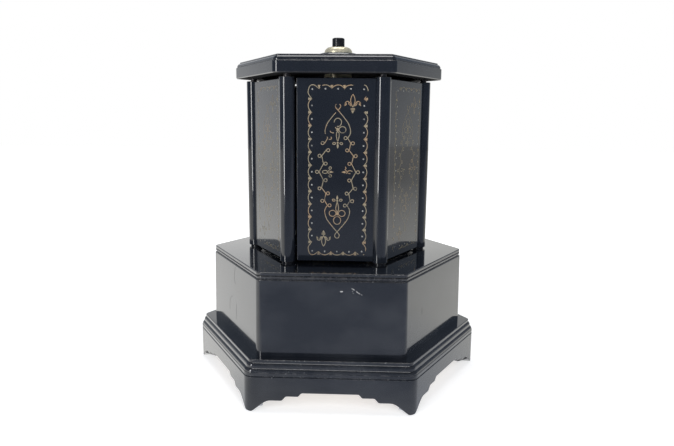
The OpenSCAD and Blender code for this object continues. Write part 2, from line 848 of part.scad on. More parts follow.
module movement_frame() {
    rest_y = comb_root_y + comb_rest_back;
    color("#a8894f") difference() {
        union() {
            block([bed_x0, bed_y0, z_floor], [bed_x1, bed_y1, z_bed]);
            bearing_plate(frame_a_x, cylinder_y, cylinder_y);
            bearing_plate(frame_b_x, governor_y, cylinder_y);
            bearing_plate(frame_c_x, governor_y, governor_y);
            block([comb_x, rest_y, z_floor], [comb_x + comb_w, bed_y1, z_shaft - comb_t / 2]);
        }
        at_drum() shaft(shaft_r + running, frame_a_x - past, bed_x1);
        at_governor() shaft(governor_shaft_r + running, frame_c_x - past, bed_x1);
        translate([barrel_x, cylinder_y, 0]) rod(arbor_r + running, z_floor - past, z_bed + past);
        for (p = bed_screws) translate(p) rod(screw_r + seat, z_floor - past, z_bed + past);
        at_comb_screws() rod(comb_screw_r + seat, -screw_bite, 0);
    }
}

module movement_screws() {
    color("#c9c9c9") for (p = bed_screws) translate([p[0], p[1], z_under])
        screw(screw_r, screw_head_r, screw_head_h, bottom_t + bed_t);
}

module comb() {
    color("#b9bcc2") difference() {
        block([comb_x, comb_tip_y, z_shaft - comb_t / 2],
              [comb_x + comb_w, comb_back_y, z_shaft + comb_t / 2]);
        for (i = [1:comb_teeth - 1])
            block([comb_x + i * comb_pitch - comb_slot / 2, comb_tip_y - past, z_shaft - past],
                  [comb_x + i * comb_pitch + comb_slot / 2, comb_root_y, z_shaft + past]);
        at_comb_screws() rod(comb_screw_r + seat, -past, past);
    }
}

module comb_screws() {
    color("#b08a45") at_comb_screws() translate([0, 0, comb_t / 2]) mirror([0, 0, 1])
        screw(comb_screw_r, comb_screw_head_r, comb_screw_head_h, screw_bite);
}

// Barrel with a ring of upright teeth that drives the cylinder's pinion
module spring_barrel() {
    tooth = PI * crown_m / 2 - 2 * small_play;
    foot = tooth / 2 + crown_root * tan(pressure_angle);
    tip = tooth / 2 - crown_tip * tan(pressure_angle);
    sunk = 0.2;
    color("#b08a45") translate([barrel_x, cylinder_y, 0]) {
        difference() {
            rod(barrel_r, z_barrel, z_crown);
            rod(barrel_r - barrel_wall, z_barrel + barrel_wall, z_crown - barrel_wall);
            rod(arbor_r + running, z_barrel - past, z_crown + past);
        }
        for (i = [0:crown_teeth - 1]) rotate([0, 0, 360 * i / crown_teeth])
            translate([crown_r - crown_w / 2, 0, z_crown]) rotate([90, 0, 90]) linear_extrude(crown_w)
                polygon([[-foot, -sunk], [foot, -sunk], [foot, 0], [tip, crown_root + crown_tip],
                         [-tip, crown_root + crown_tip], [-foot, 0]]);
    }
}

module mainspring() {
    steps = main_turns * main_steps;
    grow = main_out - spring_strip - main_in;
    path = [for (i = [0:steps]) [main_in + grow * i / steps, 360 * i / main_steps]];
    inner = [for (p = path) polar(p[0], p[1])];
    outer = [for (i = [steps:-1:0]) polar(path[i][0] + spring_strip, path[i][1])];
    lift = barrel_wall + gap;
    color("#6f7480") translate([barrel_x, cylinder_y, z_barrel + lift])
        linear_extrude(barrel_h - 2 * lift) polygon(concat(inner, outer));
}

module winding_key() {
    wing = key_h / 2;
    color("#b08a45") translate([barrel_x, cylinder_y, 0]) {
        rod(arbor_r, z_key + key_h - past, z_crown - gap);
        rod(key_hub_r, z_key + key_h - past, z_under - key_gap);
        for (side = [-1, 1]) translate([side * (key_w / 2 - wing), key_t / 2, z_key + wing])
            rotate([90, 0, 0]) cylinder(r = wing, h = key_t);
        block([-key_w / 2 + wing, -key_t / 2, z_key + key_web],
              [key_w / 2 - wing, key_t / 2, z_key + key_h]);
    }
}

module music_cylinder() {
    pin_rows = 3;
    pin_step = 77;
    color("#c2a25c") at_drum() {
        shaft(shaft_r, drum_pinion_x - shaft_end, disc_x + shaft_end);
        shaft(cylinder_r, drum_x, wheel_x + seat);
        shaft_gear(drum_pinion_teeth, crown_m, small_play, drum_pinion_x, crown_w, 180 / drum_pinion_teeth);
        shaft_gear(wheel_teeth, wheel_m, small_play, wheel_x, wheel_t, 0, wheel_addendum);
        for (i = [0:comb_teeth - 2]) for (j = [0:pin_rows - 1])
            translate([comb_x + (i + 0.5) * comb_pitch, 0, 0])
                rotate([pin_step * i + 360 * j / pin_rows, 0, 0])
                    rod(drum_pin_r, cylinder_r - past, cylinder_r + drum_pin);
    }
}

module governor_fan() {
    color("#b9bcc2") at_governor() {
        shaft(governor_shaft_r, frame_c_x - governor_end, fan_x + fan_len + governor_end);
        shaft_gear(governor_teeth, wheel_m, small_play, wheel_x, wheel_t, 180 / governor_teeth,
                   wheel_addendum);
        shaft(disc_r, disc_x - disc_t / 2, disc_x + disc_t / 2);
        block([fan_x, -fan_r, -fan_t / 2], [fan_x + fan_len, fan_r, fan_t / 2]);
    }
}

plinth();
bottom_panel();
bottom_screws();
base_box();
deck();
tube_flange();
flange_screws();
centre_tube();
lid_collar();
lid();
lid_boss();
bezel_nut();
rod_guides();
retaining_collar();
door_washers();
movement_frame();
movement_screws();
comb();
comb_screws();
button_cap();
push_rod();
cross_pin();
return_spring();
drive_gear();
stop_pin();
spring_barrel();
mainspring();
winding_key();
music_cylinder();
governor_fan();
for (k = [0:sides - 1]) {
    door_panel(k);
    door_post(k);
    pivot_pin(k);
    rack(k);
    pinion(k);
}
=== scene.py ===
"""Looks of a six-sided black lacquer cigarette dispenser with a music movement in its base."""
import json
import math

import bmesh
import bpy
from mathutils import Matrix, Vector


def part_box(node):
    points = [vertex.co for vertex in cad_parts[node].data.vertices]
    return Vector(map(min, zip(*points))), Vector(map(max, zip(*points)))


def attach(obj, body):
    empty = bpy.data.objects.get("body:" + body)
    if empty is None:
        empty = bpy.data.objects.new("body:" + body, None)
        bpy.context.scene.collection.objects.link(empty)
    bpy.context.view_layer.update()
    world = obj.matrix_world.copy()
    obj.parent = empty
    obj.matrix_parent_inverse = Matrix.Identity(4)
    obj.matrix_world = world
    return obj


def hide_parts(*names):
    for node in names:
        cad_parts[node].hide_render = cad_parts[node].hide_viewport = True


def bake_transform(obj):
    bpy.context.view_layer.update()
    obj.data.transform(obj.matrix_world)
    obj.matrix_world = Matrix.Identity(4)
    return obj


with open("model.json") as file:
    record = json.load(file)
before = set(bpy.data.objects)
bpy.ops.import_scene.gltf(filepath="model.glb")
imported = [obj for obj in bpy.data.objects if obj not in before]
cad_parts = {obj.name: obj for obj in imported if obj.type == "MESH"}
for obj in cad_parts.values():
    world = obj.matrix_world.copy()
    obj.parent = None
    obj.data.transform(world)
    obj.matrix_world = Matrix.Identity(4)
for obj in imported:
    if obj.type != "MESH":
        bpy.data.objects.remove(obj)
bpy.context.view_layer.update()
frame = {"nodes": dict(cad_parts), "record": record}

# Sizes in millimetres, read from the frame where it holds them
MM = 0.001
SIDES = 6
COS30 = math.cos(math.radians(30))
TAN30 = math.tan(math.radians(30))
DOORS = ("front", "front_right", "back_right", "back", "back_left", "front_left")


def corners(node):
    """Lowest and highest corner of a node, in millimetres"""
    low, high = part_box(node)
    return low / MM, high / MM


plinth_low, plinth_high = corners("plinth")
box_low, box_high = corners("base_box")
deck_low, deck_high = corners("deck")
lid_low, lid_high = corners("lid")
boss_low, boss_high = corners("lid_boss")
bezel_low, bezel_high = corners("bezel_nut")
button_low, button_high = corners("button_cap")
panel_low, panel_high = corners("front_door_panel")
post_low, post_high = corners("front_door_post")
tube_high = corners("centre_tube")[1]
pin_low, pin_high = corners("front_pivot_pin")
bottom_high = corners("bottom_panel")[1]

PLINTH_CORNER = 7.0
PLINTH_BEAD = 2.4
PLINTH_BEAD_TURN = 60
PLINTH_BEAD_BACK = 0.1
PLINTH_BEAD_STEP = 0.82
PLINTH_FOOT_BACK = 0.25
PLINTH_EDGE = 0.4
PLINTH_GROOVE = 0.5
PLINTH_GROOVE_DOWN = 2.4
SKIRT_WALL = 8.0
RING_LIP = 4.0
SCALLOP_H = (11.9, 9.7, 7.0)
SCALLOP_X = (32.1, 29.5, 23.2, 19.8, 13.8, -1.5)
SCALLOP_DIP = 1.2
FOOT_W = 6.0
BOX_CORNER = 5.0
BOX_WALL = 8.0
BOX_DRAFT = 0.6
BOX_ROUND = 0.8
DECK_BEAD = 0.75
DECK_GROOVE = 0.9
DECK_FOOT = 0.6
DECK_BACK = 0.3
DECK_QUIRK = 0.3
DECK_QUIRK_IN = 0.3
DECK_ROUND = 0.6
LID_CORNER = 4.5
LID_BAND = 7.0
LID_GROOVE = 0.3
LID_GROOVE_IN = 0.3
LID_OVOLO = 2.5
LID_TURN = 70
LID_STEP_BACK = 0.25
LID_BAND_BACK = 0.7
LID_EDGE = 0.5
LID_HOLLOW = 4.5
LID_HOLLOW_IN = 6.0
BOSS_TOP_R = 14.5
BOSS_FOOT = 1.0
BOSS_ROUND = 3.2
EDGE = 0.18
FINE_EDGE = 0.1
SEAT = 0.02
RUNNING = 0.06
PIN_ROOM = 0.3
THROUGH = 2
ON_AXIS = 0.01

PLINTH_A = plinth_high.y
BOX_A = box_high.y
DECK_A = BOX_A - BOX_DRAFT
BOX_IN_A = DECK_A - BOX_WALL
LID_A = lid_high.y
Z_SKIRT = bottom_high.z
TUBE_R = tube_high.x
PIN_R = (pin_high.x - pin_low.x) / 2
POST_R = (post_high.x - post_low.x) / 2
PIVOT = Vector(frame["record"]["behaviour"]["joints"][1]["pos_m"]) / MM
PIVOT_R = math.hypot(PIVOT.x, PIVOT.y)
PANEL_T = panel_high.y - panel_low.y
PANEL_OUT = PIVOT.y - panel_low.y
PANEL_END = PIVOT.x - panel_low.x
PANEL_ROOT = 1
PANEL_EASE = 0.45


def polar(r, degrees):
    return r * math.cos(math.radians(degrees)), r * math.sin(math.radians(degrees))


def arc(centre, r, start, end, steps=8):
    """Points of an arc in a profile"""
    turns = [start + (end - start) * i / steps for i in range(steps + 1)]
    return [(centre[0] + polar(r, t)[0], centre[1] + polar(r, t)[1]) for t in turns]


SHARP_TURN = math.radians(25)
SHORTEST = 0.01
SHARE = 0.45


def soften(profile, r=EDGE, steps=3):
    """A profile with each sharp corner taken as a small fillet, over a share of its legs at most"""
    out = [profile[0]]
    for before, here, after in zip(profile, profile[1:], profile[2:]):
        back = Vector(before) - Vector(here)
        ahead = Vector(after) - Vector(here)
        if back.length < 1e-6 or ahead.length < 1e-6:
            out.append(here)
            continue
        turn = math.pi - back.angle(ahead)
        reach = min(r * math.tan(turn / 2), SHARE * back.length, SHARE * ahead.length)
        if turn < SHARP_TURN or reach < SHORTEST:
            out.append(here)
            continue
        first = Vector(here) + back.normalized() * reach
        last = Vector(here) + ahead.normalized() * reach
        for i in range(steps + 1):
            t = i / steps
            p = first * (1 - t) ** 2 + Vector(here) * 2 * t * (1 - t) + last * t ** 2
            out.append((p.x, p.y))
    out.append(profile[-1])
    return out


# Mesh building
LEAST_CORNER = 0.8
BEND_SHARE = 0.35
BEND_REACH = 0.05


def to_object(name, verts, faces, marks=None):
    """A smooth object from points in millimetres, with an optional value per point named after each mark"""
    mesh = bpy.data.meshes.new(name)
    mesh.from_pydata([tuple(c * MM for c in v) for v in verts], [], faces)
    for mark, values in (marks or {}).items():
        layer = mesh.attributes.new(mark, "FLOAT", "POINT")
        layer.data.foreach_set("value", values)
    obj = bpy.data.objects.new(name, mesh)
    bpy.context.scene.collection.objects.link(obj)
    return finish_mesh(obj)


def finish_mesh(obj, sharp=32):
    """Consistent normals, smooth faces and crisp edges over an angle"""
    build = bmesh.new()
    build.from_mesh(obj.data)
    bmesh.ops.recalc_face_normals(build, faces=build.faces)
    build.to_mesh(obj.data)
    build.free()
    obj.data.polygons.foreach_set("use_smooth", [True] * len(obj.data.polygons))
    obj.data.set_sharp_from_angle(angle=math.radians(sharp))
    weigh = obj.modifiers.new("weigh", "WEIGHTED_NORMAL")
    weigh.keep_sharp = True
    return obj


def hex_ring(a, corner, side_steps=2, corner_steps=10):
    """Points (x, y, along) of a rounded hexagon, where along is the distance from the middle of its side"""
    ring = []
    for k in range(SIDES):
        middle = Vector(polar((a - corner) / COS30, 60 * k))
        for i in range(corner_steps + 1):
            ring.append(middle + Vector(polar(corner, 60 * k - 30 + 60 * i / corner_steps)))
        start = ring[-1]
        end = Vector(polar((a - corner) / COS30, 60 * k + 60)) + Vector(polar(corner, 60 * k + 30))
        ring.extend(start.lerp(end, i / side_steps) for i in range(1, side_steps))
    points = []
    for p in ring:
        side = round((math.degrees(math.atan2(p.y, p.x)) - 30) / 60) * 60 + 30
        along = Vector(polar(1, side + 90)).dot(p)
        points.append((p.x, p.y, abs(along)))
    return points


def loft(name, profile, corner, closed=False, side_steps=2, lift=None):
    """A solid between rounded hexagons along a profile of (distance to the flat side, height)"""
    widest = max(p[0] for p in profile)
    verts = []
    shine = []
    count = 0
    turns = bends(profile, closed)
    for (a, z), turn in zip(profile, turns):
        ring = hex_ring(a, max(LEAST_CORNER, corner - (widest - a)), side_steps)
        count = len(ring)
        for x, y, along in ring:
            verts.append((x, y, lift(a, z, along) if lift else z))
            shine.append(turn)
    rows = len(profile)
    faces = wall(rows, count, closed)
    if not closed:
        faces.append(tuple(range(count)))
        faces.append(tuple((rows - 1) * count + i for i in range(count)))
    return marked(name, verts, faces, shine)


def wall(rows, count, closed):
    """Four-sided faces between rows of points, and from the last row to the first where closed"""
    faces = []
    for j in range(rows if closed else rows - 1):
        low = j * count
        high = (j + 1) % rows * count
        for i in range(count):
            n = (i + 1) % count
            faces.append((low + i, low + n, high + n, high + i))
    return faces


def marked(name, verts, faces, shine):
    """An object whose points say how much they lie on an outer edge or in a groove"""
    edge = [max(0.0, s) for s in shine]
    hollow = [max(0.0, -s) for s in shine]
    return to_object(name, verts, faces, {"edge": edge, "hollow": hollow})


def bends(profile, closed):
    """How sharply a profile turns at each point: over 0 at an outer edge, under 0 in a groove"""
    count = len(profile)
    turns = []
    for i in range(count):
        if not closed and i in (0, count - 1):
            turns.append(0.0)
            continue
        back = Vector(profile[i]) - Vector(profile[i - 1])
        ahead = Vector(profile[(i + 1) % count]) - Vector(profile[i])
        reach = max(BEND_REACH, (back.length + ahead.length) / 2)
        cross = back.x * ahead.y - back.y * ahead.x
        angle = math.atan2(cross, back.dot(ahead))
        turns.append(max(-1.0, min(1.0, BEND_SHARE * angle / reach)))
    return turns


def turned(name, profile, segments=72, centre=(0.0, 0.0)):
    """A turned solid from a closed profile of (radius, height)"""
    verts = []
    shine = []
    for (r, z), turn in zip(profile, bends(profile, True)):
        for i in range(segments):
            x, y = polar(r, 360 * i / segments)
            verts.append((centre[0] + x, centre[1] + y, z))
            shine.append(turn)
    return marked(name, verts, wall(len(profile), segments, True), shine)


def drill(obj, holes, z0, z1, segments=40):
    """Round holes of (x, y, radius) through an object between two heights"""
    for x, y, r in holes:
        bpy.ops.mesh.primitive_cylinder_add(vertices=segments, radius=r * MM, depth=(z1 - z0) * MM,
                                            location=(x * MM, y * MM, (z0 + z1) / 2 * MM))
        cutter = bpy.context.object
        cut = obj.modifiers.new("drill", "BOOLEAN")
        cut.operation = "DIFFERENCE"
        cut.object = cutter
        bpy.context.view_layer.objects.active = obj
        bpy.ops.object.modifier_move_to_index(modifier=cut.name, index=0)
        bpy.ops.object.modifier_apply(modifier=cut.name)
        bpy.data.objects.remove(cutter)


# Materials
NOISE_ROUGH = 0.55


def new_material(name, color, roughness, metallic=0.0):
    """A material with its shader's plain values set, its nodes and its shader"""
    mat = bpy.data.materials.new(name)
    mat.use_nodes = True
    tree = mat.node_tree
    shader = tree.nodes["Principled BSDF"]
    shader.inputs["Base Color"].default_value = (*color, 1)
    shader.inputs["Roughness"].default_value = roughness
    shader.inputs["Metallic"].default_value = metallic
    return mat, tree, shader


def add(tree, kind, **values):
    """A node with its settings, and its inputs given by name or by place"""
    node = tree.nodes.new(kind)
    for key, value in values.items():
        if key in node.inputs:
            node.inputs[key].default_value = value
        else:
            setattr(node, key, value)
    return node


def noise(tree, coords, scale, detail=3.0, stretch=(1, 1, 1)):
    """Noise over the object's own coordinates, in cells per metre"""
    mapping = add(tree, "ShaderNodeMapping", Scale=stretch)
    texture = add(tree, "ShaderNodeTexNoise", Scale=scale, Detail=detail, Roughness=NOISE_ROUGH)
    tree.links.new(coords, mapping.inputs["Vector"])
    tree.links.new(mapping.outputs[0], texture.inputs["Vector"])
    return texture.outputs["Fac"]


def ramp(tree, value, low, high, start=0.0, end=1.0):
    """Value from low to high, drawn out to start to end and held there"""
    node = add(tree, "ShaderNodeMapRange")
    node.inputs["From Min"].default_value = low
    node.inputs["From Max"].default_value = high
    node.inputs["To Min"].default_value = start
    node.inputs["To Max"].default_value = end
    tree.links.new(value, node.inputs["Value"])
    return node.outputs["Result"]


def math_node(tree, operation, first, second):
    node = add(tree, "ShaderNodeMath", operation=operation)
    for i, value in enumerate((first, second)):
        if isinstance(value, (int, float)):
            node.inputs[i].default_value = value
        else:
            tree.links.new(value, node.inputs[i])
    return node.outputs[0]


def mix(tree, factor, first, second):
    """Colour between two colours or sockets"""
    node = add(tree, "ShaderNodeMix", data_type="RGBA")
    tree.links.new(factor, node.inputs["Factor"])
    for socket, value in ((node.inputs[6], first), (node.inputs[7], second)):
        if isinstance(value, tuple):
            socket.default_value = (*value, 1)
        else:
            tree.links.new(value, socket)
    return node.outputs[2]


def object_coords(tree):
    return add(tree, "ShaderNodeTexCoord").outputs["Object"]


def bump(tree, shader, height, strength, distance):
    node = add(tree, "ShaderNodeBump", Strength=strength, Distance=distance)
    tree.links.new(height, node.inputs["Height"])
    tree.links.new(node.outputs["Normal"], shader.inputs["Normal"])
    return node


def attribute(tree, name):
    return add(tree, "ShaderNodeAttribute", attribute_name=name).outputs["Fac"]


LACQUER = (0.0060, 0.0075, 0.0115)
HAZE = (0.0200, 0.0220, 0.0270)
CLEAN = (0.0080, 0.0095, 0.0140)
DUST = (0.26, 0.26, 0.27)
BARE = (0.085, 0.080, 0.078)
CHIP = (0.36, 0.36, 0.36)


def lacquer(name, haze):
    """Old black lacquer: deep gloss with hazy smears, fine specks, dust in the grooves and rubbed edges"""
    mat, tree, shader = new_material(name, LACQUER, 0.16)
    shader.inputs["Coat Weight"].default_value = 1.0
    shader.inputs["Coat Roughness"].default_value = 0.03
    coords = object_coords(tree)
    smear = noise(tree, coords, 30, 3, (1, 1, 1.6))
    speck = noise(tree, coords, 1400, 2)
    patch = noise(tree, coords, 230, 3)
    chip = noise(tree, coords, 1000, 2)
    hair = noise(tree, coords, 900, 2, (1, 1, 0.02))
    dusty = math_node(tree, "MULTIPLY", attribute(tree, "hollow"), ramp(tree, patch, 0.52, 0.70, 0.0, 0.4))
    rubbed = math_node(tree, "MULTIPLY", attribute(tree, "edge"), ramp(tree, patch, 0.40, 0.66, 0.25, 1.0))
    chipped = math_node(tree, "MULTIPLY", attribute(tree, "edge"), ramp(tree, chip, 0.67, 0.71))
    flecks = ramp(tree, speck, 0.75, 0.81, 0.0, 0.3)
    tone = mix(tree, ramp(tree, smear, 0.40, 0.66), LACQUER, haze)
    tone = mix(tree, flecks, tone, DUST)
    tone = mix(tree, rubbed, tone, BARE)
    tone = mix(tree, dusty, tone, DUST)
    tone = mix(tree, chipped, tone, CHIP)
    tree.links.new(tone, shader.inputs["Base Color"])
    gloss = ramp(tree, smear, 0.35, 0.75, 0.08, 0.22)
    gloss = math_node(tree, "ADD", gloss, math_node(tree, "MULTIPLY", rubbed, 0.25))
    gloss = math_node(tree, "ADD", gloss, math_node(tree, "MULTIPLY", dusty, 0.4))
    tree.links.new(gloss, shader.inputs["Roughness"])
    height = math_node(tree, "ADD", patch, math_node(tree, "MULTIPLY", hair, 0.25))
    bump(tree, shader, height, 0.02, 0.0006)
    return mat


def dull_black(name):
    """Flat black paint of the hidden faces, with a faint brushed grain and dust"""
    mat, tree, shader = new_material(name, (0.006, 0.006, 0.007), 0.85)
    shader.inputs["Specular IOR Level"].default_value = 0.15
    coords = object_coords(tree)
    brush = noise(tree, coords, 420, 3, (0.08, 1, 1))
    dust = noise(tree, coords, 90, 4)
    tone = mix(tree, ramp(tree, brush, 0.35, 0.7), (0.005, 0.005, 0.006), (0.010, 0.010, 0.011))
    tone = mix(tree, ramp(tree, dust, 0.6, 0.8, 0.0, 0.3), tone, (0.03, 0.03, 0.03))
    tree.links.new(tone, shader.inputs["Base Color"])
    bump(tree, shader, brush, 0.08, 0.0003)
    return mat


def gold_print(name, color, other, metal):
    """Printed ink under the gloss coat, tinted in places and thinned by rubbing"""
    mat, tree, shader = new_material(name, color, 0.42, metal)
    shader.inputs["Coat Weight"].default_value = 1.0
    shader.inputs["Coat Roughness"].default_value = 0.03
    coords = object_coords(tree)
    tint = ramp(tree, noise(tree, coords, 75, 3), 0.48, 0.64)
    worn = ramp(tree, noise(tree, coords, 260, 4), 0.56, 0.72, 0.0, 0.85)
    tone = mix(tree, tint, color, other)
    tone = mix(tree, worn, tone, (0.05, 0.047, 0.045))
    tree.links.new(tone, shader.inputs["Base Color"])
    tree.links.new(ramp(tree, worn, 0.0, 1.0, 0.45, 0.25), shader.inputs["Roughness"])
    return mat


def wear(name, color):
    """Bare flecks and hairlines where the lacquer has gone"""
    mat, tree, shader = new_material(name, color, 0.6)
    fleck = noise(tree, object_coords(tree), 1800, 2)
    tone = mix(tree, ramp(tree, fleck, 0.35, 0.65), color, tuple(c * 0.55 for c in color))
    tree.links.new(tone, shader.inputs["Base Color"])
    bump(tree, shader, fleck, 0.1, 0.0002)
    return mat


def brass(name, color=(0.62, 0.42, 0.16), roughness=0.24, metal=1.0, tarnished=0.45):
    """Aged brass: warm metal with brown tarnish, fine scratches and dull patches"""
    mat, tree, shader = new_material(name, color, roughness, metal)
    coords = object_coords(tree)
    tarnish = noise(tree, coords, 130, 5)
    scratch = noise(tree, coords, 700, 3, (1, 1, 0.06))
    tone = mix(tree, ramp(tree, tarnish, 0.45, 0.75), color, tuple(c * tarnished for c in color))
    tone = mix(tree, attribute(tree, "hollow"), tone, tuple(c * 0.3 for c in color))
    tree.links.new(tone, shader.inputs["Base Color"])
    rough = ramp(tree, tarnish, 0.35, 0.7, roughness - 0.06, roughness + 0.2)
    tree.links.new(rough, shader.inputs["Roughness"])
    bump(tree, shader, scratch, 0.04, 0.0003)
    return mat


def steel(name, color=(0.52, 0.53, 0.55), roughness=0.3):
    """Drawn steel with a faint grain and darker oiled patches"""
    mat, tree, shader = new_material(name, color, roughness, 1.0)
    coords = object_coords(tree)
    grain = noise(tree, coords, 900, 2, (1, 1, 0.05))
    oil = noise(tree, coords, 90, 4)
    tone = mix(tree, ramp(tree, oil, 0.4, 0.7), color, tuple(c * 0.6 for c in color))
    tree.links.new(tone, shader.inputs["Base Color"])
    rough = ramp(tree, grain, 0.3, 0.7, roughness - 0.08, roughness + 0.12)
    tree.links.new(rough, shader.inputs["Roughness"])
    bump(tree, shader, grain, 0.03, 0.0002)
    return mat


def bare_wood(name):
    """Plain wood of the bottom panel, with grain along X"""
    mat, tree, shader = new_material(name, (0.28, 0.19, 0.11), 0.7)
    coords = object_coords(tree)
    grain = noise(tree, coords, 160, 5, (0.06, 1, 1))
    pores = noise(tree, coords, 1500, 2, (0.04, 1, 1))
    tone = mix(tree, ramp(tree, grain, 0.3, 0.7), (0.34, 0.23, 0.13), (0.19, 0.12, 0.065))
    tone = mix(tree, ramp(tree, pores, 0.62, 0.72, 0.0, 0.6), tone, (0.10, 0.06, 0.035))
    tree.links.new(tone, shader.inputs["Base Color"])
    bump(tree, shader, pores, 0.15, 0.0004)
    return mat


def button_black(name):
    """Moulded black button, finely scuffed on its top"""
    mat, tree, shader = new_material(name, (0.010, 0.010, 0.012), 0.22)
    coords = object_coords(tree)
    scuff = noise(tree, coords, 800, 3)
    tone = mix(tree, ramp(tree, scuff, 0.55, 0.75, 0.0, 0.5), (0.009, 0.009, 0.011), (0.04, 0.04, 0.042))
    tree.links.new(tone, shader.inputs["Base Color"])
    tree.links.new(ramp(tree, scuff, 0.35, 0.7, 0.16, 0.36), shader.inputs["Roughness"])
    bump(tree, shader, scuff, 0.03, 0.0003)
    return mat


black = lacquer("black_lacquer", HAZE)
door_black = lacquer("door_lacquer", CLEAN)
matte = dull_black("dull_black")
gold = gold_print("gold_print", (0.34, 0.285, 0.19), (0.40, 0.265, 0.15), 0.2)
pale_print = gold_print("pale_print", (0.33, 0.33, 0.31), (0.28, 0.27, 0.25), 0.0)
# Darker copies of the print's two inks for the five other doors: painted shade on the doors turned away from
# the front
shaded_gold = gold_print("shaded_gold", (0.17, 0.14, 0.080), (0.20, 0.14, 0.075), 0.2)
shaded_pale = gold_print("shaded_pale", (0.24, 0.24, 0.21), (0.20, 0.20, 0.17), 0.0)
bare_fleck = wear("bare_fleck", (0.55, 0.55, 0.54))
dark_crack = wear("dark_crack", (0.012, 0.012, 0.013))
aged_brass = brass("aged_brass")
pale_brass = brass("pale_brass", (0.88, 0.80, 0.58), 0.26, 0.5, 0.8)
inner_brass = brass("inner_brass", (0.58, 0.40, 0.17), 0.32)
plain_steel = steel("plain_steel")
dark_pin = steel("dark_pin", (0.16, 0.15, 0.15), 0.42)
blue_spring = steel("spring_steel", (0.20, 0.22, 0.28), 0.3)
wood = bare_wood("bare_wood")
button_mat = button_black("black_button")


def paint(obj, mat):
    obj.data.materials.clear()
    obj.data.materials.append(mat)


def dress(obj, mat, body, slot, *nodes):
    """Gives a piece its material and body, and hides the nodes that it stands for; the slot argument is not
    used
    """
    paint(obj, mat)
    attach(obj, body)
    if nodes:
        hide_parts(*nodes)
    return obj


def dull(obj, way):
    """Flat black paint on the faces that look one way"""
    obj.data.materials.append(matte)
    for face in obj.data.polygons:
        if face.normal.dot(Vector(way)) > 0.9:
            face.material_index = 1
    return obj


# Plinth, box and deck
def slope(t):
    return (1 - math.cos(math.pi * min(1.0, max(0.0, t)))) / 2


def scallop(along):
    """Height of the skirt's lower edge at a distance from the middle of its side"""
    half = PLINTH_A * TAN30
    x = [half - d for d in SCALLOP_X]
    h = (*SCALLOP_H, -SCALLOP_DIP)
    z = h[0]
    for i in range(3):
        z += (h[i + 1] - h[i]) * slope((along - x[2 * i]) / (x[2 * i + 1] - x[2 * i]))
    return max(0.0, z)


def make_plinth():
    turn = PLINTH_BEAD_TURN
    bead_in = PLINTH_BEAD * (1 - math.cos(math.radians(turn))) + PLINTH_BEAD_BACK
    rise = PLINTH_BEAD * math.sin(math.radians(turn)) + PLINTH_BEAD_STEP
    a0 = PLINTH_A - PLINTH_FOOT_BACK
    a1 = a0 - bead_in
    a2 = a1 - bead_in
    z1 = Z_SKIRT + rise
    z2 = z1 + rise
    z_top = plinth_high.z
    z_groove = Z_SKIRT - PLINTH_GROOVE_DOWN
    in_a = PLINTH_A - SKIRT_WALL
    open_a = BOX_IN_A - RING_LIP
    toe = 0.7
    z_plain = SCALLOP_H[0] + 2 * toe
    mouldings = soften(
        [(PLINTH_A, z_plain), (PLINTH_A, z_groove - PLINTH_GROOVE), (PLINTH_A - PLINTH_GROOVE, z_groove),
         (PLINTH_A, z_groove + PLINTH_GROOVE), (PLINTH_A, Z_SKIRT - PLINTH_FOOT_BACK)]
        + arc((a0 - PLINTH_BEAD, Z_SKIRT), PLINTH_BEAD, 0, turn)
        + [(a1, z1 - PLINTH_BEAD_STEP)]
        + arc((a1 - PLINTH_BEAD, z1), PLINTH_BEAD, 0, turn)
        + [(a2, z2 - PLINTH_BEAD_STEP)]
        + arc((a2 - PLINTH_EDGE, z_top - PLINTH_EDGE), PLINTH_EDGE, 0, 90, 6)
        + [(open_a, z_top)])
    lower = arc((PLINTH_A - toe, toe), toe, -80, 0, 4)
    profile = ([(in_a, 0)] + lower + mouldings
               + [(open_a, Z_SKIRT), (in_a, Z_SKIRT), (in_a, z_plain)])

    def lift(a, z, along):
        if z > toe:
            return z
        if a < PLINTH_A - 2 * toe and along > (in_a - FOOT_W) * TAN30:
            return z
        return z + scallop(along)

    obj = loft("plinth_body", profile, PLINTH_CORNER, True, 120, lift)
    return dress(obj, black, "cabinet", "black_lacquer", "plinth")


def make_box():
    z0, z1 = box_low.z, box_high.z
    profile = soften([(BOX_A, z0)] + arc((DECK_A - BOX_ROUND, z1 - BOX_ROUND), BOX_ROUND, 0, 90, 6)
                     + [(BOX_IN_A, z1), (BOX_IN_A, z0)])
    obj = loft("base_box_body", profile, BOX_CORNER, True)
    return dress(obj, black, "cabinet", "black_lacquer", "base_box")


def pivot_holes(r):
    return [(*polar(PIVOT_R, 60 * k), r) for k in range(SIDES)]


def make_deck():
    z0, z3 = box_high.z, deck_high.z
    z1 = z0 + DECK_FOOT
    z2 = z1 + 2 * DECK_BEAD
    a1 = DECK_A - DECK_GROOVE
    a2 = DECK_A - DECK_BACK
    in_a = a1 - DECK_QUIRK_IN
    profile = soften([(BOX_IN_A - SEAT, deck_low.z), (BOX_IN_A - SEAT, z0), (a1, z0)]
                     + arc((a1, z1 + DECK_BEAD), DECK_BEAD, -90, 90, 8)
                     + [(in_a, z2), (in_a, z2 + DECK_QUIRK), (a2, z2 + DECK_QUIRK)]
                     + arc((a2 - DECK_ROUND, z3 - DECK_ROUND), DECK_ROUND, 0, 90, 8), FINE_EDGE)
    obj = loft("deck_plate", profile, BOX_CORNER)
    holes = pivot_holes(PIN_R + RUNNING) + [(0, 0, TUBE_R + SEAT)]
    drill(obj, holes, deck_low.z - THROUGH, z3 + THROUGH)
    return dress(obj, black, "cabinet", "black_lacquer", "deck")


